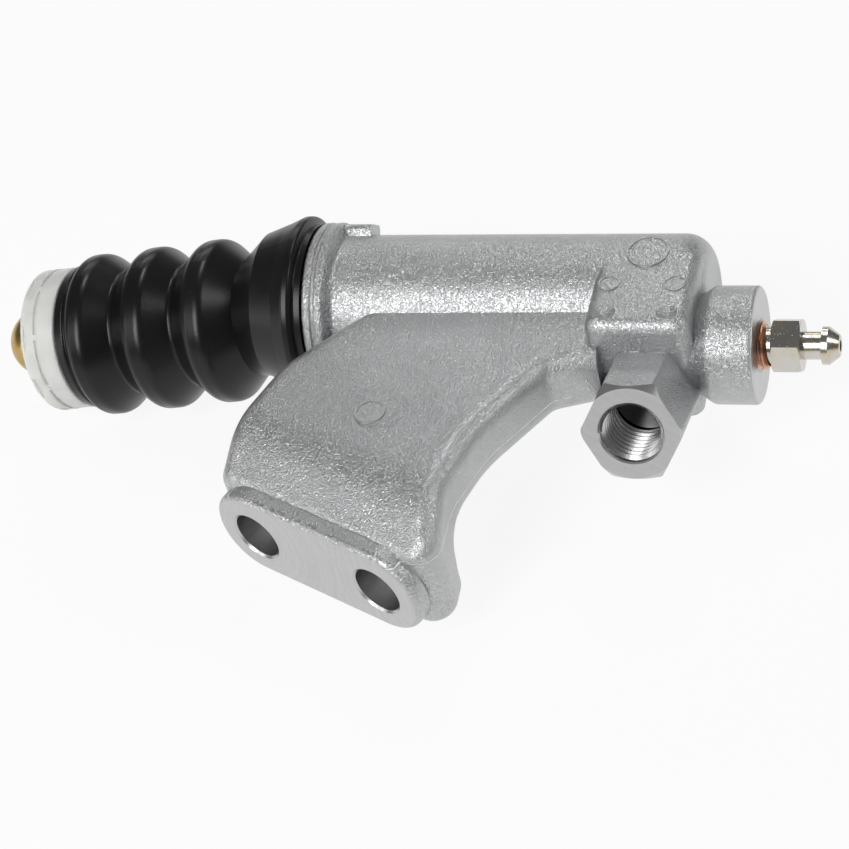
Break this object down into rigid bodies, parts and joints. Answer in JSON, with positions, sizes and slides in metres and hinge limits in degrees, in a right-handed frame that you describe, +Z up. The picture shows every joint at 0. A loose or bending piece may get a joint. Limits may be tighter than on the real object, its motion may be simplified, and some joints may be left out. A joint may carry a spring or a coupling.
{
  "type": "clutch slave cylinder",
  "caption": "Hydraulic clutch slave cylinder: cast body with side mounting pad, rubber bellows over a ball-tipped push rod, hex port boss and bleeder screw.",
  "frame": {"origin": "centre of the machined face of the mounting pad, midway between the axes of its two bolt holes", "axes": "+X along the bore from the push rod to the bleeder screw, +Z up, square to the flat top of the arm; the pad faces -Y, turned 25 degrees towards -X"},
  "size_m": [0.1464, 0.0733, 0.0355],
  "materials": {
    "cast_aluminium": "as-cast satin, machined pad face, holes and port face",
    "boot_rubber": "satin black rubber",
    "seal_rubber": "black rubber, wet with brake fluid",
    "white_nylon": "natural white nylon, slightly translucent",
    "rod_brass": "golden satin metal",
    "plated_steel": "zinc plating with a faint golden tint",
    "piston_alloy": "turned, thinly anodised",
    "spring_steel": "drawn spring wire"
  },
  "bodies": {
    "housing": {"cylinder_body": "cast_aluminium", "snap_ring": "spring_steel", "boot": "boot_rubber", "return_spring": "spring_steel"},
    "piston": {"piston": "piston_alloy", "primary_cup": "seal_rubber", "piston_seal": "seal_rubber", "spring_seat": "white_nylon"},
    "rod": {"push_rod": "rod_brass", "rod_retainer": "white_nylon"},
    "bleeder": {"bleeder_screw": "plated_steel"}
  },
  "joints": [
    {"name": "piston_slide", "type": "slide", "parent": "housing", "child": "piston", "axis": [1, 0, 0], "range_m": [0, 0.015], "stiffness_N_per_m": 900, "springref_m": -0.02, "deforming": ["boot", "return_spring"]},
    {"name": "rod_swing", "type": "hinge", "parent": "piston", "child": "rod", "pos_m": [-0.0013, 0.0505, 0.0077], "axis": [0, 1, 0], "range_deg": [-0.6, 17.4], "deforming": ["boot"]},
    {"name": "bleeder_turn", "type": "hinge", "parent": "housing", "child": "bleeder", "pos_m": [0.06515, 0.0414, 0.0077], "axis": [1, 0, 0], "range_deg": [0, 360]}
  ]
}
